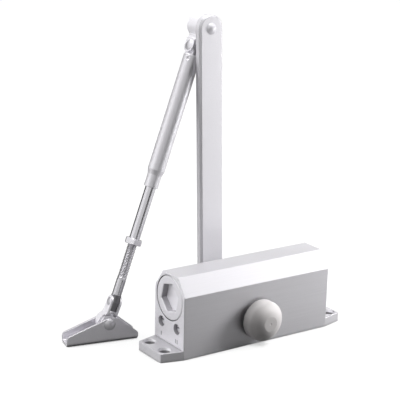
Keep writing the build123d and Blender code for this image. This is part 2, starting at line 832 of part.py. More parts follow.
def make_sleeve():
    """Thin spacer sleeve on the rod between the tube's end and the lock nut."""
    low = tube_end() + seat_gap
    high = low + sleeve_length
    inner = drawn_bore_radius
    return turned([(inner, low), (sleeve_radius, low), (sleeve_radius, high), (inner, high)])


def make_lock_nut():
    """Thin hexagon nut with chamfered corners."""
    low = tube_end() + sleeve_length + 2 * seat_gap
    corner = nut_across_flats / math.sqrt(3)
    hexagon = RegularPolygon(nut_across_flats / 2, 6, major_radius=False)
    nut = extrude(Plane.XY.offset(low) * hexagon, nut_thickness)
    trim = 0.7
    bevel = turned(
        [
            (0, low),
            (corner - trim * 1.7, low),
            (corner, low + trim),
            (corner, low + nut_thickness - trim),
            (corner - trim * 1.7, low + nut_thickness),
            (0, low + nut_thickness),
        ]
    )
    return (nut & bevel) - disc_z(drawn_bore_radius, low - 1, low + nut_thickness + 1)


def make_rod(pin_distance):
    """Threaded rod along Z up into the tube, with a long flat eye that narrows to a round tip."""
    top = pin_distance - tube_end() + rod_in_tube
    half = rod_eye_thickness / 2
    shape = chamfer(disc_z(rod_radius, rod_eye_length, top).edges().sort_by(Axis.Z)[-1], 0.8)
    outline = Polyline(
        (rod_radius, rod_eye_length + 1),
        (rod_radius, 0),
        (rod_eye_tip, -rod_eye_reach),
        (-rod_eye_tip, -rod_eye_reach),
        (-rod_radius, 0),
        (-rod_radius, rod_eye_length + 1),
        close=True,
    )
    eye = extrude(Plane.YZ * make_face(outline), half, both=True)
    shape += eye & disc_x(rod_eye_reach, -half, half)
    return shape - disc_x(running_radius, -half - 1, half + 1)


def make_shoe():
    """Folded U bracket: a web on the frame and two humped flanges that hold the rivet."""
    half = shoe_width / 2
    inner = half - shoe_sheet
    drop = -shoe_pivot_height
    channel = Pos(0, shoe_peak_height / 2) * Rectangle(shoe_width, shoe_peak_height)
    channel = fillet(channel.vertices().group_by(Axis.Y)[0], shoe_bend_radius)
    hollow = Pos(0, shoe_sheet + shoe_peak_height / 2) * Rectangle(2 * inner, shoe_peak_height)
    hollow = fillet(hollow.vertices().group_by(Axis.Y)[0], shoe_bend_radius - shoe_sheet)
    length = shoe_left + shoe_right
    section = Plane(origin=(-shoe_left, 0, drop), x_dir=(0, 1, 0), z_dir=(1, 0, 0))
    shape = extrude(section * (channel - hollow), length)
    side = Polyline(
        (-shoe_left, 0),
        (-shoe_left, shoe_left_height),
        (-shoe_peak_left, shoe_peak_height),
        (shoe_peak_right, shoe_peak_height),
        (shoe_right, shoe_right_height),
        (shoe_right, 0),
        close=True,
    )
    outline = make_face(side)
    peaks = outline.vertices().filter_by_position(Axis.Y, shoe_peak_height - 0.01, shoe_peak_height + 0.01)
    outline = fillet(peaks, shoe_peak_fillet)
    ends = outline.vertices().filter_by_position(Axis.Y, shoe_right_height - 0.01, shoe_left_height + 0.01)
    outline = fillet(ends, shoe_end_fillet)
    front = Plane(origin=(0, 0, drop), x_dir=(1, 0, 0), z_dir=(0, -1, 0))
    shape = shape & extrude(front * outline, shoe_width, both=True)
    shape -= disc_y(shoe_rivet_radius + seat_gap, -shoe_width, shoe_width)
    for x in (-shoe_hole_left, shoe_hole_right):
        shape -= Pos(x, 0, drop) * disc_z(shoe_hole_radius, -1, shoe_sheet + 1)
    return shape


def make_shoe_rivet():
    """Rivet across the bracket, domed in front and peened behind."""
    half = shoe_width / 2 + seat_gap
    shape = disc_y(shoe_rivet_radius, -half, half)
    shape += Pos(0, -half, 0) * Rot(90, 0, 0) * dome(shoe_rivet_head_radius, shoe_rivet_head_height)
    shape += Pos(0, half, 0) * Rot(-90, 0, 0) * dome(shoe_rivet_head_radius, shoe_rivet_head_height / 2)
    return shape


# Rest place of the linkage: the forearm's line between the elbow's and the shoe's cross pins
lean = math.radians(arm_lean)
yaw = math.radians(shoe_yaw)
elbow_y = arm_bar_y + arm_thickness + elbow_washer_thickness + elbow_barrel_length / 2
elbow = Vector(-arm_length * math.sin(lean), elbow_y, spindle_height + arm_length * math.cos(lean))
shoe_pivot = Vector(shoe_pivot_x, shoe_pivot_y, shoe_pivot_height)
elbow_axis = Vector(0, 1, 0)
shoe_axis = Vector(-math.sin(yaw), math.cos(yaw), 0)


def across(direction, axis):
    """Unit part of a direction that is square to an axis."""
    return (direction - axis * direction.dot(axis)).normalized()


forearm_line = (shoe_pivot - elbow).normalized()
for _ in range(40):
    elbow_lug = across(forearm_line, elbow_axis)
    shoe_lug = across(forearm_line * -1, shoe_axis)
    elbow_pin = elbow + elbow_lug * elbow_reach + elbow_axis * elbow_lug_offset
    shoe_pin = shoe_pivot + shoe_lug * shoe_reach
    forearm_line = (shoe_pin - elbow_pin).normalized()
pin_distance = (shoe_pin - elbow_pin).length
elbow_pin_axis = elbow_axis.cross(elbow_lug)
shoe_pin_axis = shoe_axis.cross(shoe_lug)

elbow_frame = Plane(origin=elbow, x_dir=elbow_pin_axis, z_dir=elbow_lug).location
forearm_frame = Plane(origin=elbow_pin, x_dir=elbow_pin_axis, z_dir=forearm_line).location
rod_frame = Plane(origin=shoe_pin, x_dir=shoe_pin_axis, z_dir=forearm_line * -1).location
shoe_knuckle_frame = Plane(origin=shoe_pivot, x_dir=shoe_pin_axis, z_dir=shoe_lug).location
shoe_frame = Pos(shoe_pivot_x, shoe_pivot_y, shoe_pivot_height) * Rot(0, 0, shoe_yaw)

os.makedirs("parts", exist_ok=True)

# Body group
write("housing", make_housing())
write("end_plug_left", place_plug(make_plug(0), -1))
write("end_plug_right", place_plug(make_plug(plug_pocket_depth), 1))
write("end_plug_seal_left", place_plug(make_plug_oring(), -1))
write("end_plug_seal_right", place_plug(make_plug_oring(), 1))
for side, word in ((-1, "front"), (1, "rear")):
    inner_ring, outer_ring, balls = bearing_rings(side)
    write(f"bearing_inner_ring_{word}", inner_ring)
    write(f"bearing_outer_ring_{word}", outer_ring)
    write(f"bearing_balls_{word}", balls)
    write(f"spindle_gland_{word}", make_gland(side))
    write(f"spindle_seal_{word}", make_seal(side))
write("closing_spring", make_spring())
for y, word in zip(valve_places(), ("closing", "latching")):
    screw, ring = make_valve(y)
    write(f"{word}_speed_valve", screw)
    write(f"{word}_speed_valve_seal", ring)

# Piston group
write("piston", make_piston())
check_ball, check_bush = make_check_valve()
write("check_valve_ball", check_ball)
write("check_valve_bush", check_bush)

# Spindle group
write("spindle", make_spindle())
write("spindle_cap", make_cap())
write("main_arm", make_arm())
arm_washer, arm_screw = make_arm_fixing()
write("arm_washer", arm_washer)
write("arm_screw", arm_screw)
write("elbow_rivet", make_elbow_rivet())
write("elbow_washer", make_elbow_washer())

# Forearm group
elbow_cross_pin = make_cross_pin(
    elbow_fork_gap / 2 + elbow_ear_thickness,
    elbow_reach,
    elbow_lug_offset,
    elbow_pin_head_radius,
    elbow_pin_head_height,
)
write("elbow_knuckle", elbow_frame * make_elbow_knuckle())
write("elbow_cross_pin", elbow_frame * elbow_cross_pin)
write("forearm_head", forearm_frame * make_forearm_head())
write("forearm_tube", forearm_frame * make_forearm_tube())
write("spacer_sleeve", forearm_frame * make_sleeve())
write("lock_nut", forearm_frame * make_lock_nut())
write("adjusting_rod", rod_frame * make_rod(pin_distance))

# Shoe group
shoe_cross_pin = make_cross_pin(
    shoe_fork_gap / 2 + shoe_ear_thickness,
    shoe_reach,
    0.0,
    shoe_pin_head_radius,
    shoe_pin_head_height,
)
write("shoe_knuckle", shoe_knuckle_frame * make_shoe_knuckle())
write("shoe_cross_pin", shoe_knuckle_frame * shoe_cross_pin)
write("shoe_bracket", shoe_frame * make_shoe())
write("shoe_rivet", shoe_frame * make_shoe_rivet())

print("stroke of the piston", round(stroke, 2))
print("distance between the cross pins", round(pin_distance, 2))
for word, value in (
    ("elbow", elbow),
    ("elbow pin", elbow_pin),
    ("elbow pin axis", elbow_pin_axis),
    ("forearm line", forearm_line),
    ("shoe pin", shoe_pin),
    ("shoe pin axis", shoe_pin_axis),
    ("shoe pivot", shoe_pivot),
    ("shoe axis", shoe_axis),
):
    print(word, [round(c, 5) for c in value])
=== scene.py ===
# %% [markdown]
# # A hydraulic door closer, dressed in Blender
#
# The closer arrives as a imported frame: every piece already has its true shape and place, in
# metres. This lesson gives those pieces their finishes, makes the threaded rod again with its
# real thread, and sets the closer on a pale studio floor.

# %% Load the packed closer
import math

import bpy
import numpy as np
from mathutils import Matrix, Vector


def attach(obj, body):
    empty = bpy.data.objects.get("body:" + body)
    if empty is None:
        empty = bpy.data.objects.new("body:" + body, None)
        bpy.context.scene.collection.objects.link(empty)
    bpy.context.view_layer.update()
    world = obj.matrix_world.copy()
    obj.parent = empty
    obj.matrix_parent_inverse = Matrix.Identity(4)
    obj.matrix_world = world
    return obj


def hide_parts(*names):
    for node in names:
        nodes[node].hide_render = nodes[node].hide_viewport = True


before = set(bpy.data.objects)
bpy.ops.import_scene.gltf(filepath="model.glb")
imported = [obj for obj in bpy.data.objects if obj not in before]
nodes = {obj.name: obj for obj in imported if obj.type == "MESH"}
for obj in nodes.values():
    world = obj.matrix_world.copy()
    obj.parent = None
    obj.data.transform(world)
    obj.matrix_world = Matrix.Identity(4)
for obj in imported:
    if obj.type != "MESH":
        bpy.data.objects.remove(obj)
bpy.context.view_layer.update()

mm = 0.001

# %% [markdown]
# ## The camera
#
# A picture of a small object is usually taken from far off with a long lens, so that upright
# edges stay nearly parallel. The camera's three axes come from how far round it stands, how
# high it looks from and how far it is rolled.

# %% Camera
camera_place = Vector((-0.60993, -0.81786, 0.40530))
camera_round = math.radians(-34.6128)
camera_height = math.radians(15.8510)
camera_roll = math.radians(1.3498)
camera_lens = 117.66


def camera_axes(around, above, roll):
    """Right, up and backward axes: backward from two angles, right level, then both rolled."""
    backward = Vector((
        math.sin(around) * math.cos(above),
        -math.cos(around) * math.cos(above),
        math.sin(above),
    ))
    level = (-backward).cross(Vector((0, 0, 1))).normalized()
    upright = level.cross(-backward)
    right = level * math.cos(roll) + upright * math.sin(roll)
    up = upright * math.cos(roll) - level * math.sin(roll)
    return right, up, backward


camera_data = bpy.data.cameras.new("camera")
camera_data.sensor_width = 36.0
camera_data.lens = camera_lens
camera_data.clip_start = 0.05
camera_data.clip_end = 50.0
camera = bpy.data.objects.new("camera", camera_data)
bpy.context.scene.collection.objects.link(camera)
turn = Matrix(camera_axes(camera_round, camera_height, camera_roll)).transposed()
camera.matrix_world = Matrix.Translation(camera_place) @ turn.to_4x4()
bpy.context.scene.camera = camera
bpy.context.scene.view_settings.view_transform = "Standard"
print("camera", round(camera_place.length, 3), "m from the middle of the feet")

# %% [markdown]
# ## Writing a material as arithmetic
#
# A Blender material is a web of nodes. It reads better as sums: the class below stands for one
# number that varies over a surface, and adding or multiplying two of them adds a Math node.
# Every other kind of node comes from one method, which takes the node's settings first and
# then the values or links of its sockets.

# %% Numbers that vary over a surface
class Amount:
    """One output socket. Arithmetic on it adds Math nodes to its finish."""

    def __init__(self, finish, socket):
        self.finish = finish
        self.socket = socket

    def math(self, operation, first, second):
        return self.finish.node("ShaderNodeMath", {"operation": operation}, {0: first, 1: second})

    def __add__(self, other):
        return self.math("ADD", self, other)

    def __radd__(self, other):
        return self.math("ADD", other, self)

    def __sub__(self, other):
        return self.math("SUBTRACT", self, other)

    def __rsub__(self, other):
        return self.math("SUBTRACT", other, self)

    def __mul__(self, other):
        return self.math("MULTIPLY", self, other)

    def __rmul__(self, other):
        return self.math("MULTIPLY", other, self)


class Finish:
    """A material or a world in the making, and the few things that most finishes need."""

    def __init__(self, name, world=None):
        self.material = world or bpy.data.materials.new(name)
        self.material.use_nodes = True
        self.tree = self.material.node_tree
        self.tree.nodes.clear()

    def node(self, kind, settings=None, values=None, output=0):
        """Add a node: its settings, then its sockets, from numbers, colours or other outputs."""
        made = self.tree.nodes.new(kind)
        for name, value in (settings or {}).items():
            if name == "stops":
                while len(made.color_ramp.elements) < len(value):
                    made.color_ramp.elements.new(1.0)
                for element, (position, colour) in zip(made.color_ramp.elements, value):
                    element.position = position
                    element.color = colour
            else:
                setattr(made, name, value)
        for name, value in (values or {}).items():
            if isinstance(value, Amount):
                self.tree.links.new(value.socket, made.inputs[name])
            else:
                made.inputs[name].default_value = value
        return Amount(self, made.outputs[output]) if made.outputs else None

    def place(self):
        """The point on the piece, in its own frame, in metres."""
        return self.node("ShaderNodeTexCoord", output="Object")

    def facing(self):
        """The way that the surface faces, in the piece's own frame."""
        return self.node("ShaderNodeTexCoord", output="Normal")

    def part(self, vector, axis):
        """The X, Y or Z part of a vector."""
        return self.node("ShaderNodeSeparateXYZ", values={0: vector}, output=axis)

    def unsigned(self, value):
        """A number without its sign."""
        return self.node("ShaderNodeMath", {"operation": "ABSOLUTE"}, {0: value})

    def noise(self, size, detail=2.0, where=None):
        """Soft noise from 0 to 1 whose lumps are about size across, in metres."""
        return self.node(
            "ShaderNodeTexNoise",
            values={"Vector": where or self.place(), "Scale": 1.0 / size, "Detail": detail},
        )

    def blend(self, share, first, second):
        """Colour between two colours, by a share from 0 to 1."""
        return self.node(
            "ShaderNodeMix",
            {"data_type": "RGBA"},
            {0: share, 6: first, 7: second},
            output=2,
        )

    def between(self, value, low, high, to_low=0.0, to_high=1.0):
        """Map low to high onto another range, and hold it there outside."""
        return self.node(
            "ShaderNodeMapRange",
            {"clamp": True},
            {0: value, 1: low, 2: high, 3: to_low, 4: to_high},
        )

    def edges(self, radius, blunt=0.01, sharp=0.2):
        """How sharply the surface turns within radius: 0 on a flat, 1 where the turn is sharp."""
        rounded = self.node("ShaderNodeBevel", {"samples": 6}, {"Radius": radius})
        facing = self.node("ShaderNodeNewGeometry", output="Normal")
        turned = self.node(
            "ShaderNodeVectorMath", {"operation": "DOT_PRODUCT"}, {0: rounded, 1: facing}, "Value"
        )
        return self.between(1.0 - turned, blunt, sharp), rounded

    def bump(self, height, depth, normal=None):
        """Surface normal over a height from 0 to 1 that is depth tall, in metres."""
        values = {"Height": height, "Distance": depth, "Strength": 1.0}
        if normal:
            values["Normal"] = normal
        return self.node("ShaderNodeBump", values=values)

    def surface(self, base, roughness, metallic, normal):
        """Close the finish with one shader, whose inputs are numbers or links."""
        shader = self.node(
            "ShaderNodeBsdfPrincipled",
            values={
                "Base Color": base,
                "Roughness": roughness,
                "Metallic": metallic,
                "Normal": normal,
            },
        )
        self.node("ShaderNodeOutputMaterial", values={"Surface": shader})
        return self.material


silver_tint = (1.0, 0.985, 1.03)
plain_tint = (1.0, 1.0, 1.0)
warm_tint = (1.025, 0.985, 0.985)


def tinted(tone, tint=silver_tint):
    """Opaque colour of one tone, leaning a little to a tint."""
    return (*(min(tone * part, 1.0) for part in tint), 1.0)


print("tools for finishes are ready")

# %% [markdown]
# ## Silver coating
#
# The arm, the knuckles and the bracket carry a silver coating: fine metal flakes in a clear
# binder. Seen close it has a tight grain, a faint orange peel from the spray gun and slow
# changes of tone. Edges differ: on the bracket the coat is thin and the cut metal shows
# brighter; on the arm, the tube and the castings the edges are painted darker, a painted dark
# reflection that outlines them.
#
# A painted picture could hold all this, but it would blur up close. Here noises of three
# sizes stand for flakes, peel and clouds, so the coat stays sharp at any distance, and one
# function makes every variant of it from a few numbers.

# %% Silver coating
brightest = 0.95
flake_size = 0.3 * mm
cloud_size = 30 * mm
fine_turns = (0.004, 0.07)


def silver_coat(name, tone, metallic=0.55, roughness=0.38, peel=1.6 * mm,
                peel_depth=0.006 * mm, edge_gain=0.12, flake_gloss=0.12):
    """Sprayed silver: base tone times flake grain and slow clouds, another tone on edges."""
    finish = Finish(name)
    flakes = finish.noise(flake_size, 1.0)
    clouds = finish.noise(cloud_size, 3.0)
    edge_wear_and_painted_light, rounded = finish.edges(0.6 * mm, *fine_turns)
    share = finish.between(flakes, 0.3, 0.7)
    base = finish.blend(share, tinted(tone * 0.94), tinted(tone * 1.03))
    base = finish.blend(clouds * 0.2, base, tinted(tone * 0.9))
    # Painted dark reflection: a negative edge_gain (arm, tube, castings) darkens the edges to an
    # outline; on the bracket and gland the lighter edge is bare metal.
    base = finish.blend(edge_wear_and_painted_light * 0.8, base, tinted(min(tone * (1 + edge_gain), brightest)))
    skin = finish.noise(peel, 2.0)
    shine = roughness + (flakes - 0.5) * flake_gloss + (clouds - 0.5) * 0.06 - edge_wear_and_painted_light * 0.05
    relief = finish.bump(skin + flakes * 0.25, peel_depth, rounded)
    return finish.surface(base, shine, metallic, relief)


arm_coat = silver_coat("arm_silver_coat", 0.7, edge_gain=-0.7)
tube_coat = silver_coat(
    "tube_silver_coat", 0.63, 0.6, 0.36, 2.5 * mm, 0.004 * mm, edge_gain=-0.3, flake_gloss=0.04
)
cast_coat = silver_coat(
    "cast_silver_coat", 0.85, 0.52, 0.33, 0.9 * mm, 0.015 * mm, edge_gain=-0.5
)
bracket_coat = silver_coat("bracket_silver_coat", 0.75, 0.7, 0.34, edge_gain=0.8)
print("silver coats: arm, tube, cast, bracket")

# %% [markdown]
# ## Body of the closer
#
# The body is an aluminium casting whose long sides are linished: a belt run along the body
# leaves fine lines. Its ends and feet are only blasted and coated, so they have an even grain,
# and their much lighter tone is painted light. The share of each is read from the way the
# surface faces, and the lines are a noise that is stretched along the body. The feet's ends are
# painted a little darker as shade. Bores and the foot's countersinks are painted nearly black as
# shade: there the surface sees little of its surroundings, or lies deep in a cone. Edges are
# painted darker as shade, more on faces that look up.
#
# The lines could be cut into the mesh, but they are finer than a pixel, so a shallow bump and
# two tones do the same for much less.

# %% Linished sides and blasted ends
feet_start = 72.8 * mm
foot_top_z = 7.5 * mm
belt_stretch = (0.012, 1.0, 1.0)
# Painted shade: tone and share for the bores and countersinks.
painted_shade_tone = 0.02
painted_shade_share = 0.85


def countersink_shade(finish, place, facing_z, feet):
    """Where a cone lies deep below a foot's top: its faces are neither upright nor level."""
    cone = finish.between(facing_z, 0.5, 0.6) * finish.between(facing_z, 0.9, 0.8) * feet
    height = finish.part(place, "Z")
    return cone * finish.between(height, foot_top_z - 1.4 * mm, foot_top_z - 2.0 * mm)


def body_coating(name, side_tone, end_tone, metallic, roughness):
    """Lines are noise stretched along X; ends face X, so the size of the normal's X picks them."""
    finish = Finish(name)
    place = finish.place()
    drawn = finish.node("ShaderNodeMapping", values={"Vector": place, "Scale": belt_stretch})
    fine = finish.noise(0.35 * mm, 2.0, drawn)
    broad = finish.noise(1.6 * mm, 2.0, drawn)
    grain = finish.noise(0.4 * mm, 2.0, place)
    clouds = finish.noise(35 * mm, 2.0, place)
    edge_wear_and_painted_light, rounded = finish.edges(0.6 * mm, *fine_turns)
    facing = finish.facing()
    facing_z = finish.part(facing, "Z")
    ends = finish.between(finish.unsigned(finish.part(facing, "X")), 0.5, 0.8)
    feet = finish.between(
        finish.unsigned(finish.part(place, "X")), feet_start, feet_start + 0.2 * mm
    )

    lines = finish.between(fine * 0.6 + broad * 0.4, 0.3, 0.7)
    sides = finish.blend(lines, tinted(side_tone * 0.95), tinted(side_tone * 1.04))
    speckle = finish.between(grain, 0.35, 0.65)
    # Painted light: the ends take end_tone, far lighter than side_tone, though sides and ends are
    # one coat.
    blasted_and_lit_ends = finish.blend(speckle, tinted(end_tone * 0.9), tinted(end_tone * 1.05))
    base = finish.blend(ends, sides, blasted_and_lit_ends)
    # Painted shade: the feet's ends are blended towards black by a share of 0.18.
    base = finish.blend(feet * ends * 0.18, base, tinted(0.0))

    # Painted shade: where the surface sees little round it, and deep in the countersinks, the coat
    # is blended towards near black.
    open_round = finish.node(
        "ShaderNodeAmbientOcclusion", {"samples": 6}, {"Distance": 5 * mm}, "AO"
    )
    hollow = finish.between(open_round, 0.56, 0.36)
    painted_shade_mask = hollow + countersink_shade(finish, place, facing_z, feet)
    base = finish.blend(painted_shade_mask * painted_shade_share, base, tinted(painted_shade_tone))
    base = finish.blend(clouds * 0.15, base, tinted(side_tone * 0.9))
    # Painted shade: edges are darkened to an outline, more on faces that look up.
    edge_share = finish.between(facing_z, 0.2, 0.5, 0.5, 0.95)
    base = finish.blend(edge_wear_and_painted_light * edge_share, base, tinted(side_tone * 0.55))

    shine = roughness + (lines - 0.5) * 0.1 + (grain - 0.5) * 0.08 - edge_wear_and_painted_light * 0.05
    height = finish.blend(ends, lines, grain)
    relief = finish.bump(height, 0.012 * mm, rounded)
    return finish.surface(base, shine, metallic, relief)


body_coat = body_coating("body_silver_coat", 0.504, 0.89, 0.55, 0.36)
gland_coat = silver_coat("gland_silver_coat", 0.74, 0.65, 0.32, 0.8 * mm, 0.01 * mm, 0.35)
print("body and gland coats")

# %% [markdown]
# ## End plugs
#
# Each end of the bore is closed by a screwed plug with a hexagon socket for the key. Its face
# is coated with the body. The socket's walls are bare metal from the key and are also painted
# darker as shade, lighter where they look up as painted light. Its deep floor is painted lighter
# than the face against its shade, and its edges get a painted highlight. These could be three
# materials on three sets of faces. One material that
# asks where a point lies and which way it faces does the same without touching the mesh.

# %% End plugs
plug_face_x = 72.7 * mm


def plug_coating(name, face_tone, wall_tone, lit_floor_tone):
    """Coated face; the socket's walls turn away from X, bare and painted darker as shade; its deep
    floor is painted lighter.
    """
    finish = Finish(name)
    grain = finish.noise(0.35 * mm, 2.0)
    edge_wear_and_painted_light, rounded = finish.edges(0.35 * mm)
    facing = finish.facing()
    wall = finish.between(finish.unsigned(finish.part(facing, "X")), 0.6, 0.3)
    depth = plug_face_x - finish.unsigned(finish.part(finish.place(), "X"))
    deep = finish.between(depth, 2 * mm, 5 * mm)
    speckle = finish.between(grain, 0.3, 0.7)
    face = finish.blend(speckle, tinted(face_tone * 0.95), tinted(face_tone * 1.03))
    # Painted light: the socket's deep floor is lighter than the face, against the shade of the
    # walls.
    lit_floor_coat = finish.blend(speckle, tinted(lit_floor_tone * 0.95), tinted(lit_floor_tone))
    base = finish.blend(deep, face, lit_floor_coat)
    # Bare metal and painted shade: the walls take a dark tone, and upward-facing walls are painted
    # lighter as light from above.
    lit_wall = finish.between(finish.part(facing, "Z"), 0.0, 0.6)
    bare_and_shaded_wall = finish.blend(lit_wall, tinted(wall_tone), tinted(wall_tone * 1.9))
    base = finish.blend(wall, base, bare_and_shaded_wall)
    # Painted highlight: edges of the socket and rim are blended to a bright line.
    base = finish.blend(edge_wear_and_painted_light * 0.8, base, tinted(0.8))
    shine = 0.34 + (grain - 0.5) * 0.12 + wall * 0.1
    relief = finish.bump(grain, 0.01 * mm, rounded)
    return finish.surface(base, shine, 0.5, relief)


plug_coat = plug_coating("plug_silver_coat", 0.8, 0.28, 0.95)
print("plug coat")

# %% [markdown]
# ## Bright steel
#
# The rivets, the nut, the sleeve and the rod are zinc plated. Plating keeps the fine marks of
# the lathe or the die, so its tone and gloss change in thin lines along the axis of the part.
#
# The marks could be modelled as grooves, but they are only a few thousandths of a millimetre
# deep. A noise that changes along one line only gives them in tone, gloss and bump at once.

# %% Bright steel
forearm_line = Vector((-0.36834, -0.04049, -0.92881)).normalized()
turning_mark = 0.18 * mm


def plated_steel(name, tone, axis, roughness):
    """Zinc plate: a one-way noise along axis gives turning marks in tone, gloss and relief."""
    finish = Finish(name)
    along = finish.node(
        "ShaderNodeVectorMath", {"operation": "DOT_PRODUCT"}, {0: finish.place(), 1: axis}, "Value"
    )
    lines = finish.node(
        "ShaderNodeTexNoise",
        {"noise_dimensions": "1D"},
        {"W": along, "Scale": 1.0 / turning_mark, "Detail": 2.0},
    )
    stains = finish.noise(4 * mm, 3.0)
    edge_wear_and_painted_light, rounded = finish.edges(0.3 * mm)
    share = finish.between(lines, 0.3, 0.7)
    base = finish.blend(share, tinted(tone * 0.92), tinted(tone * 1.03))
    base = finish.blend(stains * 0.3, base, tinted(tone * 0.85))
    base = finish.blend(edge_wear_and_painted_light * 0.5, base, tinted(min(tone * 1.15, brightest)))
    shine = roughness + (lines - 0.5) * 0.16 + (stains - 0.5) * 0.1
    relief = finish.bump(lines, 0.004 * mm, rounded)
    return finish.surface(base, shine, 0.95, relief)


sleeve_plate = plated_steel("forearm_zinc_plate", 0.7, forearm_line, 0.2)
rod_plate = plated_steel("rod_zinc_plate", 0.6, forearm_line, 0.2)
# Painted shade: the eye, deep between the shoe's ears, gets a dark tone of 0.22.
shaded_eye_steel = plated_steel("eye_shaded_steel", 0.22, forearm_line, 0.34)
along_x = Vector((1, 0, 0))
along_y = Vector((0, 1, 0))
rivet_plate = plated_steel("rivet_zinc_plate", 0.78, along_x, 0.5)
# Painted shade: the shoe's rivet is a darker copy of the rivet plate.
shaded_shoe_rivet_plate = plated_steel("shoe_rivet_shaded_zinc_plate", 0.55, along_x, 0.45)
screw_plate = plated_steel("screw_zinc_plate", 0.66, along_y, 0.34)
print("bright steel: forearm, rivets, screws")

# %% [markdown]
# ## Hidden metal
#
# Of the valves only the slotted ends show, and bearings and spring not at all, but they are
# finished too, so that an opened closer looks right. Ground steel has short scratches, drawn
# wire is dark and oily and brass is turned. These could be scanned materials, but they differ
# only in colour and in the size of their scratches, so one function is enough.

# %% Ground steel, drawn wire, brass
def machined(name, colour, shade, roughness, scratch, depth, metallic=1.0):
    """Machined metal: scratches from a stretched noise mix two colours and lift the gloss."""
    finish = Finish(name)
    stretched = finish.node(
        "ShaderNodeMapping", values={"Vector": finish.place(), "Scale": (1.0, 0.15, 1.0)}
    )
    scratches = finish.noise(scratch, 3.0, stretched)
    oil = finish.noise(6 * mm, 2.0)
    base = finish.blend(finish.between(scratches, 0.35, 0.65), shade, colour)
    base = finish.blend(oil * 0.35, base, shade)
    shine = roughness + (scratches - 0.5) * 0.2 + (oil - 0.5) * 0.12
    relief = finish.bump(scratches, depth)
    return finish.surface(base, shine, metallic, relief)


ground_steel = machined("ground_steel", tinted(0.6), tinted(0.45), 0.28, 0.3 * mm, 0.004 * mm)
valve_steel = machined(
    "valve_steel", tinted(0.86), tinted(0.72), 0.4, 0.3 * mm, 0.005 * mm, metallic=0.5
)
drawn_wire = machined("drawn_spring_wire", tinted(0.3), tinted(0.18), 0.4, 0.4 * mm, 0.01 * mm)
clean_brass = (0.72, 0.56, 0.3, 1.0)
dull_brass = (0.55, 0.4, 0.2, 1.0)
turned_brass = machined("turned_brass", clean_brass, dull_brass, 0.32, 0.25 * mm, 0.005 * mm)
print("ground steel, valve steel, spring wire, brass")

# %% [markdown]
# ## Rubber and moulded plastic
#
# The seals are black rubber, dull with a bloom, and the spindle cap is a pale plastic that was
# moulded in a spark-eroded tool. Both have a skin of fine pits. It could be a displaced mesh,
# but the pits are too small to change an outline, so they are bump, with a slow mottling.

# %% Rubber and moulded plastic
def moulded(name, tone, roughness, grain, depth, tint=plain_tint):
    """Moulded skin: a spark-eroded grain in relief, and slow mottling of tone and gloss."""
    finish = Finish(name)
    skin = finish.noise(grain, 2.0)
    mottle = finish.noise(9 * mm, 3.0)
    slow = finish.between(mottle, 0.3, 0.7)
    quick = finish.between(skin, 0.3, 0.7)
    base = finish.blend(slow, tinted(tone * 0.93, tint), tinted(tone, tint))
    base = finish.blend(quick * 0.35, base, tinted(tone * 0.85, tint))
    shine = roughness + (skin - 0.5) * 0.18 + (mottle - 0.5) * 0.08
    relief = finish.bump(skin, depth)
    return finish.surface(base, shine, 0.0, relief)


seal_rubber = moulded("seal_rubber", 0.05, 0.6, 0.3 * mm, 0.01 * mm)
cap_plastic = moulded("cap_plastic", 0.39, 0.48, 0.35 * mm, 0.012 * mm, warm_tint)
print("rubber and plastic are ready")

# %% [markdown]
# ## Giving every piece its finish
#
# Each piece gets the finish that the real one has. A piece keeps its mesh, and only the
# material in its slot is changed. That could be one statement for each piece, but a table from
# names to finishes is easier to check against the real closer.

# %% Finishes by piece
finish_of = {
    "housing": body_coat,
    "end_plug_left": plug_coat,
    "end_plug_right": plug_coat,
    "spindle_gland_front": gland_coat,
    "spindle_gland_rear": gland_coat,
    "main_arm": arm_coat,
    "forearm_tube": tube_coat,
    "shoe_bracket": bracket_coat,
    "elbow_knuckle": cast_coat,
    "forearm_head": cast_coat,
    "shoe_knuckle": cast_coat,
    "spacer_sleeve": sleeve_plate,
    "lock_nut": sleeve_plate,
    "adjusting_rod": rod_plate,
    "elbow_rivet": rivet_plate,
    "elbow_washer": rivet_plate,
    "elbow_cross_pin": rivet_plate,
    "shoe_cross_pin": rivet_plate,
    "shoe_rivet": shaded_shoe_rivet_plate,
    "arm_screw": screw_plate,
    "arm_washer": screw_plate,
    "closing_spring": drawn_wire,
    "check_valve_bush": turned_brass,
    "closing_speed_valve": valve_steel,
    "latching_speed_valve": valve_steel,
    "spindle_cap": cap_plastic,
}
for name, piece in nodes.items():
    if "seal" in name:
        chosen = seal_rubber
    else:
        chosen = finish_of.get(name, ground_steel)
    for slot in piece.material_slots:
        slot.material = chosen
print("finished", len(nodes), "pieces")

# %% [markdown]
# ## The threaded rod
#
# The adjusting rod screws into the forearm to set its length, so most of it carries an M8
# thread. The frame holds it as a plain bar. Here it is made again, at the origin and upright,
# where the sums are simple, and three directions then turn it into its place: along the rod,
# along the pin in its eye, and square to both.

# %% Frame of the rod
shoe_pin = Vector((-94.90968, 48.36091, 31.35918)) * mm
shoe_pin_axis = Vector((0.91604, -0.18637, -0.35515)).normalized()
rod_axis = -forearm_line
rod_side = rod_axis.cross(shoe_pin_axis).normalized()
rod_pin_axis = rod_side.cross(rod_axis)
rod_frame = np.array([rod_pin_axis, rod_side, rod_axis])


def from_rod(points):
    """Millimetres in the rod's frame, pin along X and rod along Z, to metres in place."""
    return (points * mm) @ rod_frame + np.array(shoe_pin)


print("rod along", [round(c, 3) for c in rod_axis])

# %% [markdown]
# ## Meshes from numbers
#
# Both parts of the rod are grids: rows of points that close into rings. They could be modelled
# by hand, but a formula gives the exact pitch and radius. Two helpers are enough, one for the
# faces between the rows and one that turns points and faces into an object at the origin.

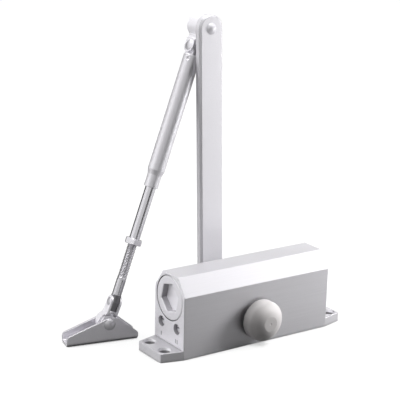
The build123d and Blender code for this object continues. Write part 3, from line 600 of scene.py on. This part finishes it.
# %% Faces of a grid
def grid_faces(rows, columns, rows_close=False):
    """Quads of a grid whose columns close on themselves, and whose rows do if asked."""
    last = rows if rows_close else rows - 1
    row, column = np.meshgrid(np.arange(last), np.arange(columns), indexing="ij")
    below = (row + 1) % rows
    right = (column + 1) % columns
    corners = [
        row * columns + column,
        row * columns + right,
        below * columns + right,
        below * columns + column,
    ]
    return np.stack([c.ravel() for c in corners], axis=1)


print("a grid of 3 by 4 points has", len(grid_faces(3, 4)), "faces")


# %% A mesh from points and faces
def new_piece(name, points, faces, material, caps=()):
    """Mesh object at the origin from an array of points, quads and a few capping polygons."""
    mesh = bpy.data.meshes.new(name)
    mesh.from_pydata(points.tolist(), [], faces.tolist() + [list(c) for c in caps])
    mesh.polygons.foreach_set("use_smooth", np.ones(len(mesh.polygons), bool))
    mesh.materials.append(material)
    mesh.update()
    piece = bpy.data.objects.new(name, mesh)
    bpy.context.scene.collection.objects.link(piece)
    return piece


print("meshes can be made from numbers")

# %% [markdown]
# ## The thread
#
# The real thread is rolled: its flanks rise and fall evenly and its crests are flattened. It
# could be wound with a screw modifier, but its fade into the plain neck would then need a
# second tool. Here the radius follows a helix over height and angle, and the fade is a factor.

# %% Thread
thread_radius = 3.95
thread_depth = 0.62
thread_pitch = 1.25
thread_start = 18.5
thread_fade = 5.0
rows_per_pitch = 10
neck_rows = 12
rod_top = 124.6
top_chamfer = 0.8
neck_start = 5.6
around = 48


def thread_profile(turn_share):
    """Depth of a thread over one pitch, 0 at the crest and 1 at the root, both flattened."""
    ramp = 1 - np.abs(2 * turn_share - 1)
    return np.clip(ramp * 1.5 - 0.25, 0, 1)


def rod_surface():
    """Radius over a grid of height and angle: a plain neck, then a helix that fades in."""
    steps = int((rod_top - thread_start) / thread_pitch * rows_per_pitch)
    neck = np.linspace(neck_start, thread_start, neck_rows)[:-1]
    heights = np.concatenate([neck, np.linspace(thread_start, rod_top, steps)])
    angles = np.linspace(0, 2 * math.pi, around, endpoint=False)
    height, angle = np.meshgrid(heights, angles, indexing="ij")
    share = (height / thread_pitch - angle / (2 * math.pi)) % 1.0
    fade_in = np.clip((height - thread_start) / thread_fade, 0, 1)
    radius = thread_radius - thread_depth * fade_in * thread_profile(share)
    radius -= np.clip(height - (rod_top - top_chamfer), 0, top_chamfer)
    points = np.stack([radius * np.cos(angle), radius * np.sin(angle), height], axis=-1)
    return points.reshape(-1, 3), len(heights)


rod_points, rod_rows = rod_surface()
rod_faces = grid_faces(rod_rows, around)
foot_ring = list(range(around))[::-1]
top_ring = list(range((rod_rows - 1) * around, rod_rows * around))
threaded_rod = new_piece(
    "adjusting_rod_thread", from_rod(rod_points), rod_faces, rod_plate, [foot_ring, top_ring]
)
print("thread", round((rod_top - thread_start) / thread_pitch), "turns,", len(rod_faces), "quads")

# %% [markdown]
# ## The eye
#
# At its foot the rod is forged flat into an eye round the shoe's cross pin. Below the pin it
# narrows, so that it clears the bracket when the shoe tilts. It could be cut from a block with
# booleans. Rings round the pin hole give the same solid, with small chamfers and even quads,
# and its top overlaps the neck of the rod by a millimetre.

# %% Eye of the rod
eye_reach = 7.8
eye_tip = 1.6
eye_half = 2.9
pin_hole = 2.57
eye_chamfer = 0.35
eye_columns = 144
overlap = 1.0
nearly_zero = 1e-6
far_away = 1e9


def eye_surface():
    """Rings round the pin axis in polar form: square top, sides that narrow, round tip."""
    angles = np.linspace(0, 2 * math.pi, eye_columns, endpoint=False)
    side = np.abs(np.cos(angles))
    rise = np.sin(angles)
    narrowing = np.where(rise < 0, -rise * (thread_radius - eye_tip) / eye_reach, 0)
    straight = thread_radius / np.maximum(side + narrowing, nearly_zero)
    level_top = (neck_start + overlap) / np.maximum(rise, nearly_zero)
    capped = np.where(rise > nearly_zero, level_top, far_away)
    outline = np.minimum(straight, np.where(rise > 0, capped, eye_reach))
    rings = [
        (-eye_half, outline - eye_chamfer),
        (-eye_half + eye_chamfer, outline),
        (eye_half - eye_chamfer, outline),
        (eye_half, outline - eye_chamfer),
        (eye_half, pin_hole + eye_chamfer + 0 * outline),
        (eye_half - eye_chamfer, pin_hole + 0 * outline),
        (-eye_half + eye_chamfer, pin_hole + 0 * outline),
        (-eye_half, pin_hole + eye_chamfer + 0 * outline),
    ]
    points = [
        np.stack([np.full_like(r, x), r * np.cos(angles), r * np.sin(angles)], axis=-1)
        for x, r in rings
    ]
    return np.concatenate(points), len(rings)


eye_points, eye_rings = eye_surface()
eye_faces = grid_faces(eye_rings, eye_columns, rows_close=True)
rod_eye = new_piece("adjusting_rod_eye", from_rod(eye_points), eye_faces, shaded_eye_steel)
print("eye", len(eye_points), "points")

# %% The rod in the frame
for piece in (threaded_rod, rod_eye):
    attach(piece, "adjusting_rod")
    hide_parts("adjusting_rod")
print("two pieces stand in for the plain bar")

# %% [markdown]
# ## Floor
#
# The closer stands on a white table, as in a catalogue. A plain white surface turns grey under
# soft lamps, and more lamps would burn out the closer. So the floor is a dark surface that
# glows: white for the camera, dimmer for reflections, and dark close to the pieces that stand
# on it, which gives a soft shadow where they touch it.

# %% Floor
half_floor = 3.0
floor_height = -0.05 * mm
floor_corners = [
    (x * half_floor, y * half_floor, floor_height)
    for x, y in ((-1, -1), (1, -1), (1, 1), (-1, 1))
]
floor_mesh = bpy.data.meshes.new("floor")
floor_mesh.from_pydata(floor_corners, [], [(0, 1, 2, 3)])
floor = bpy.data.objects.new("floor", floor_mesh)
bpy.context.scene.collection.objects.link(floor)

table = Finish("white_table")
seen = table.node("ShaderNodeLightPath", output="Is Camera Ray")
mirrored = table.node("ShaderNodeLightPath", output="Is Glossy Ray")
from_closer = table.node(
    "ShaderNodeVectorMath", {"operation": "LENGTH"}, {0: table.place()}, "Value"
)
nearby = table.node("ShaderNodeAmbientOcclusion", {"samples": 8}, {"Distance": 8 * mm}, "AO")
open_sky = table.between(nearby, 0.3, 0.6, 0.03, 1.0)
whiteness = table.between(from_closer, 0.25, 0.7, 0.88, 1.0) * open_sky
brighter_right = table.between(table.part(table.place(), "X"), -0.02, 0.16, 0.22, 0.5)
darker_behind = table.between(table.part(table.place(), "Y"), 0.12, 0.4, 1.0, 0.4)
mirrored_floor = brighter_right * darker_behind * open_sky
strength = seen * whiteness + mirrored * mirrored_floor
matt = table.node("ShaderNodeBsdfDiffuse", values={"Color": tinted(0.1, plain_tint)})
glow = table.node("ShaderNodeEmission", values={"Strength": strength})
both = table.node("ShaderNodeAddShader", values={0: matt, 1: glow})
table.node("ShaderNodeOutputMaterial", values={"Surface": both})
floor_mesh.materials.append(table.material)
print("floor", 2 * half_floor, "m wide")

# %% [markdown]
# ## The room
#
# The walls of a studio look white but throw little light of their own. One background colour
# can't do both. The kind of ray picks the strength instead: one for what the camera sees, one
# for what metal mirrors, and one for the light that falls on the closer.

# %% World
def light_of_world(seen, mirrored, felt):
    """White all round: one strength for the camera, one for reflections, one for soft light."""
    sky = Finish("studio", bpy.data.worlds.new("studio"))
    strength = felt
    for kind, level in (("Is Glossy Ray", mirrored), ("Is Camera Ray", seen)):
        ray = sky.node("ShaderNodeLightPath", output=kind)
        strength = sky.node("ShaderNodeMix", values={0: ray, 2: strength, 3: level})
    white = tinted(1.0, plain_tint)
    backdrop = sky.node("ShaderNodeBackground", values={"Color": white, "Strength": strength})
    sky.node("ShaderNodeOutputWorld", values={"Surface": backdrop})
    return sky.material


bpy.context.scene.world = light_of_world(1.0, 0.8, 0.0)
print("world", bpy.context.scene.world.name)

# %% [markdown]
# ## Lamps
#
# Large lamps give soft shadows and broad highlights, so area lamps stand for softboxes. Small
# ones near by are needed too, for the fall of tone along the arm. Some would burn out the side
# of the tube or the arm, so they light the closer without being mirrored in it.

# %% Lamps
body_middle = (-0.02, 0.02, 0.08)
upper_arm = (-0.02, 0.02, 0.2)
near_right = (0.9, -0.45, 0.15)


def softbox(name, direction, distance, size, power, mirrored=True, aim=body_middle):
    """Lamp that stands at a distance in a direction from the point that it faces."""
    lamp = bpy.data.lights.new(name, "AREA")
    lamp.shape = "RECTANGLE"
    lamp.size, lamp.size_y = size
    lamp.energy = power
    stand = bpy.data.objects.new(name, lamp)
    stand.visible_glossy = mirrored
    bpy.context.scene.collection.objects.link(stand)
    toward = Vector(direction).normalized()
    place = Matrix.Translation(Vector(aim) + toward * distance)
    stand.matrix_world = place @ toward.to_track_quat("Z", "Y").to_matrix().to_4x4()


softbox("overhead", (0.0, 0.15, 1.0), 1.2, (0.9, 0.9), 16.7)
softbox("left", (-1.0, 0.2, 0.25), 1.2, (0.8, 0.8), 11.4, mirrored=False)
softbox("left_back", (-0.6, 0.8, 0.35), 1.3, (0.8, 0.8), 14.8, mirrored=False)
softbox("right_front", (1.0, -0.5, 0.35), 0.6, (0.2, 0.2), 6.0, mirrored=False)
softbox("right_near", near_right, 0.5, (0.25, 0.2), 0.55)
softbox("right_fill", near_right, 0.5, (0.25, 0.2), 1.2, mirrored=False, aim=upper_arm)
softbox("key_top", (0.55, -0.49, 0.68), 1.2, (0.5, 0.5), 1.7)
print("softboxes are lit")

# %% [markdown]
# ## Cards
#
# Polished metal shows only what stands round it, so in an all white room it has no edges.
# Dark cards just outside the picture give the tube, the sleeve and the rod their dark lines,
# and a bright one at the left gives them a satin side that isn't as hard as a lamp's. Cards
# are seen in reflections alone: they throw no shadow and the camera passes through them.

# %% Cards
def card_finish(name, glow):
    """Black cloth, or a screen that glows."""
    finish = Finish(name)
    if glow:
        face = finish.node("ShaderNodeEmission", values={"Strength": glow})
    else:
        face = finish.node("ShaderNodeBsdfDiffuse", values={"Color": tinted(0.03, plain_tint)})
    finish.node("ShaderNodeOutputMaterial", values={"Surface": face})
    return finish.material


dark_card = card_finish("dark_card", 0)
bright_card = card_finish("bright_card", 1.12)


def card(name, direction, distance, width, height, material=dark_card):
    """Upright rectangle that stands on the floor in a direction and faces the closer."""
    heading = Vector((direction[0], direction[1], 0)).normalized()
    across = Vector((-heading.y, heading.x, 0)) * (width / 2)
    foot = Vector(body_middle) * Vector((1, 1, 0)) + heading * distance
    rise = Vector((0, 0, height))
    corners = [foot - across, foot + across, foot + across + rise, foot - across + rise]
    mesh = bpy.data.meshes.new(name)
    mesh.from_pydata([tuple(corner) for corner in corners], [], [(0, 1, 2, 3)])
    mesh.materials.append(material)
    stand = bpy.data.objects.new(name, mesh)
    bpy.context.scene.collection.objects.link(stand)
    for part in ("visible_camera", "visible_diffuse", "visible_transmission", "visible_shadow"):
        setattr(stand, part, False)


card("front_card", (0.2, -1.0), 0.8, 0.7, 0.55)
card("back_left_card", (-0.24, 1.0), 0.9, 1.1, 0.9)
card("back_right_card", (0.94, 0.34), 0.9, 0.4, 0.9)
card("left_card", (-0.95, 0.22), 1.0, 1.08, 1.0, bright_card)
print("three dark cards and a bright one")
